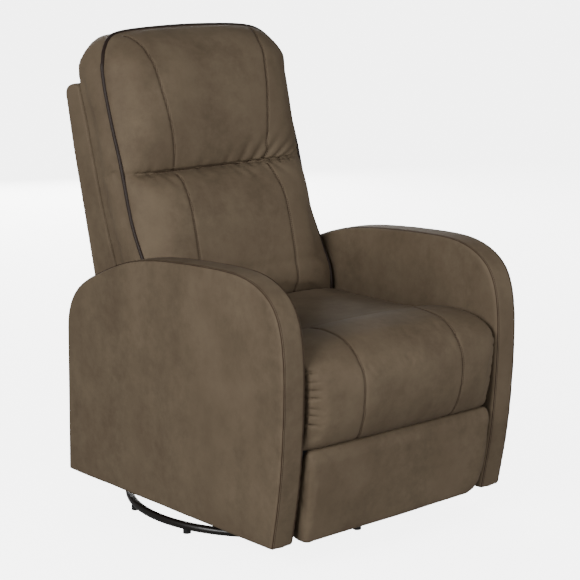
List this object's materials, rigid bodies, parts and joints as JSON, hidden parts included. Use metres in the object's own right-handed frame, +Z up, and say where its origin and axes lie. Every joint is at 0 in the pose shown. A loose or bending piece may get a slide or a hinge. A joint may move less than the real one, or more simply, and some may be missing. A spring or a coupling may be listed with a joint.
{
  "type": "swivel glider recliner chair",
  "caption": "Upholstered nursery armchair on a ring base that swivels, glides, reclines and folds out a footrest.",
  "frame": {"origin": "on the floor, under the middle of the chair's bounding box", "axes": "+Z up, the sitter faces -Y, the sitter's left is +X"},
  "size_m": [0.66, 0.896, 1.054],
  "materials": {
    "leather": "matte",
    "padding": "matte",
    "timber": "matte",
    "board": "matte",
    "webbing": "matte",
    "black_steel": "satin",
    "dark_steel": "satin",
    "zinc_steel": "satin",
    "black_plastic": "matte"
  },
  "bodies": {
    "base": {"base_ring": "black_steel", "base_spider": "black_steel", "foot_caps": "black_plastic", "swivel_lower_plate": "dark_steel", "bearing_balls": "zinc_steel", "swivel_pivot_bolt": "zinc_steel"},
    "swivel": {"swivel_upper_plate": "dark_steel", "glide_hanger_left": "dark_steel", "glide_hanger_right": "dark_steel", "hanger_pins": "zinc_steel"},
    "front_links": {"glide_link_front_left": "dark_steel", "glide_link_front_right": "dark_steel"},
    "rear_links": {"glide_link_rear_left": "dark_steel", "glide_link_rear_right": "dark_steel"},
    "chassis": {"glide_rail_left": "dark_steel", "glide_rail_right": "dark_steel", "rail_pins": "zinc_steel", "cross_tube_front": "dark_steel", "cross_tube_rear": "dark_steel", "side_rail_left": "dark_steel", "side_rail_right": "dark_steel", "arm_frame_left": "timber", "arm_frame_right": "timber", "arm_cover_left": "leather", "arm_cover_right": "leather", "rear_panel": "board", "seat_track_left": "dark_steel", "seat_track_right": "dark_steel"},
    "seat": {"seat_rail_left": "timber", "seat_rail_right": "timber", "seat_rail_front": "timber", "seat_rail_rear": "timber", "seat_webbing": "webbing", "seat_runner_left": "dark_steel", "seat_runner_right": "dark_steel", "seat_side_plate_left": "dark_steel", "seat_side_plate_right": "dark_steel", "back_pivot_pins": "zinc_steel", "seat_cushion": "padding"},
    "back": {"back_side_left": "timber", "back_side_right": "timber", "back_panel": "board", "back_rail_top": "timber", "back_rail_bottom": "timber", "back_bracket_left": "dark_steel", "back_bracket_right": "dark_steel", "back_webbing": "webbing", "lumbar_pad": "padding", "headrest_pad": "padding"},
    "tong_first_falling": {"tong_first_falling": "dark_steel", "footrest_torque_tube": "dark_steel", "tong_rivets_first": "zinc_steel"},
    "tong_first_rising": {"tong_first_rising": "dark_steel", "tong_rivets_rising": "zinc_steel"},
    "tong_second_rising": {"tong_second_rising": "dark_steel", "tong_rivets_second": "zinc_steel"},
    "tong_second_falling": {"tong_second_falling": "dark_steel"},
    "footrest": {"footrest_brackets": "dark_steel", "footrest_board": "timber", "footrest_pad": "padding"}
  },
  "joints": [
    {"name": "swivel", "type": "hinge", "parent": "base", "child": "swivel", "pos_m": [0, 0.04, 0.024], "axis": [0, 0, 1], "continuous": true},
    {"name": "front_link_swing", "type": "hinge", "parent": "swivel", "child": "front_links", "pos_m": [0, -0.06, 0.142], "axis": [1, 0, 0], "range_deg": [-20, 20]},
    {"name": "rear_link_swing", "type": "hinge", "parent": "swivel", "child": "rear_links", "pos_m": [0, 0.14, 0.142], "axis": [1, 0, 0], "range_deg": [-20, 20]},
    {"name": "glide", "type": "hinge", "parent": "front_links", "child": "chassis", "pos_m": [0, -0.06, 0.042], "axis": [1, 0, 0], "range_deg": [-20, 20]},
    {"name": "seat_slide", "type": "slide", "parent": "chassis", "child": "seat", "axis": [0, -0.9781, 0.2079], "range_m": [0, 0.07]},
    {"name": "recline", "type": "hinge", "parent": "seat", "child": "back", "pos_m": [0, 0.15, 0.302], "axis": [-1, 0, 0], "range_deg": [0, 42]},
    {"name": "footrest", "type": "hinge", "parent": "seat", "child": "tong_first_falling", "pos_m": [0, -0.268, 0.222], "axis": [-1, 0, 0], "range_deg": [0, 78]},
    {"name": "first_cross", "type": "hinge", "parent": "tong_first_falling", "child": "tong_first_rising", "pos_m": [0, -0.28614, 0.14923], "axis": [-1, 0, 0], "range_deg": [-156, 0]},
    {"name": "second_cross_foot", "type": "hinge", "parent": "tong_first_falling", "child": "tong_second_rising", "pos_m": [0, -0.30429, 0.07646], "axis": [-1, 0, 0], "range_deg": [-156, 0]},
    {"name": "second_cross", "type": "hinge", "parent": "tong_second_rising", "child": "tong_second_falling", "pos_m": [0, -0.30167, 0.15141], "axis": [-1, 0, 0], "range_deg": [0, 156]},
    {"name": "panel_turn", "type": "hinge", "parent": "tong_second_rising", "child": "footrest", "pos_m": [0, -0.29905, 0.22636], "axis": [-1, 0, 0], "range_deg": [0, 156]}
  ],
  "couplings": [
    {"joint": "front_link_swing", "follows": "glide", "ratio": -1},
    {"joint": "rear_link_swing", "follows": "glide", "ratio": -1},
    {"joint": "seat_slide", "follows": "recline", "m_per_rad": 0.0954},
    {"joint": "first_cross", "follows": "footrest", "ratio": -2},
    {"joint": "second_cross_foot", "follows": "footrest", "ratio": -2},
    {"joint": "second_cross", "follows": "footrest", "ratio": 2},
    {"joint": "panel_turn", "follows": "footrest", "ratio": 2}
  ]
}
